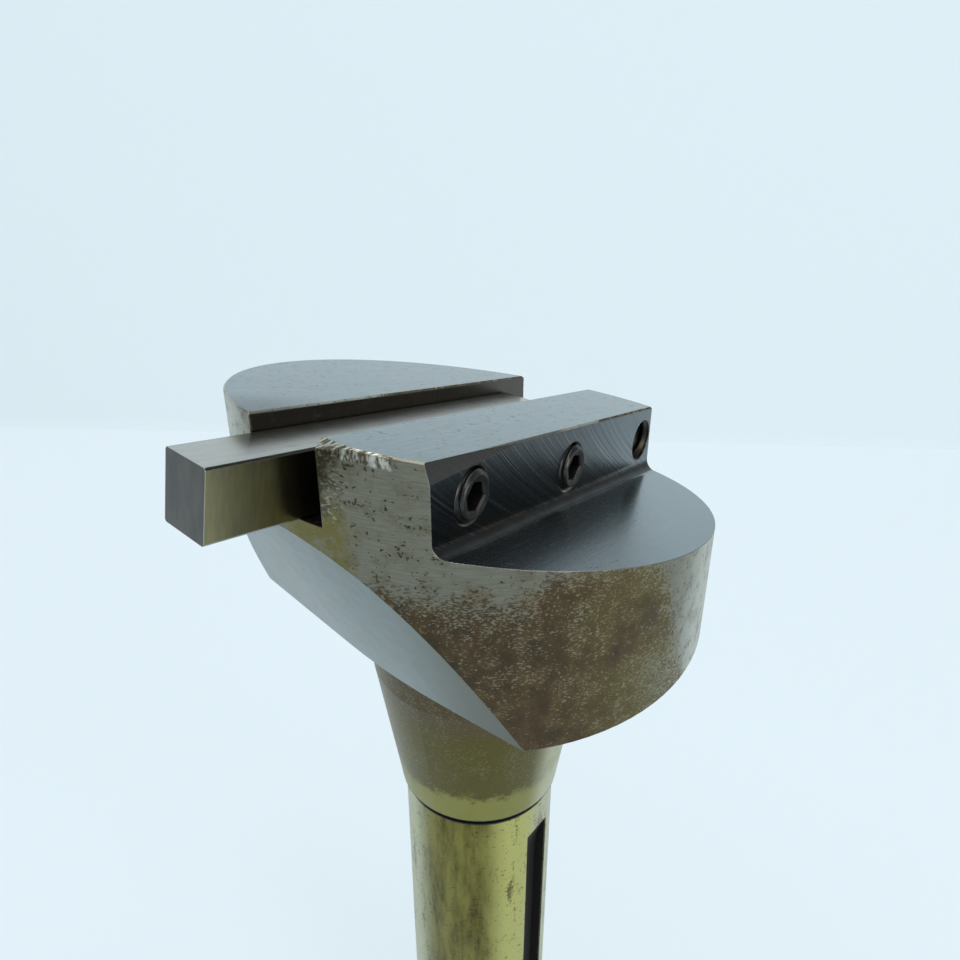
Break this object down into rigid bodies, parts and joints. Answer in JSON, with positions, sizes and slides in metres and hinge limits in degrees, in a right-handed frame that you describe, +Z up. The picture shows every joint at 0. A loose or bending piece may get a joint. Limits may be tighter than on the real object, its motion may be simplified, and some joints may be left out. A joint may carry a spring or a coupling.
{
  "type": "fly cutter",
  "caption": "Fly cutter on a tapered milling-spindle shank: a square tool bit held in an inclined open slot across a round head by socket set screws from one side",
  "frame": {"origin": "on the spindle axis, at the drawbar end of the shank", "axes": "+Z up the spindle axis from the shank to the head, +X to the side where the tool bit stands out, +Y to the clamp screws"},
  "size_m": [0.0771, 0.064, 0.1531],
  "materials": {
    "body_steel": "worn, oil-stained ground and turned steel",
    "high_speed_steel": "ground, tarnished",
    "screw_steel": "black oxide, worn at the rims"
  },
  "bodies": {
    "body": {"cutter_body": "body_steel"},
    "bit": {"tool_bit": "high_speed_steel"},
    "outer_screw": {"set_screw_outer": "screw_steel"},
    "middle_screw": {"set_screw_middle": "screw_steel"}
  },
  "joints": [
    {"name": "bit_slide", "type": "slide", "parent": "body", "child": "bit", "axis": [0.9659, 0, 0.2588], "range_m": [-0.01, 0.015]},
    {"name": "outer_screw_slide", "type": "slide", "parent": "body", "child": "outer_screw", "axis": [0, 1, 0], "range_m": [0, 0.008]},
    {"name": "middle_screw_slide", "type": "slide", "parent": "body", "child": "middle_screw", "axis": [0, 1, 0], "range_m": [0, 0.008]}
  ]
}
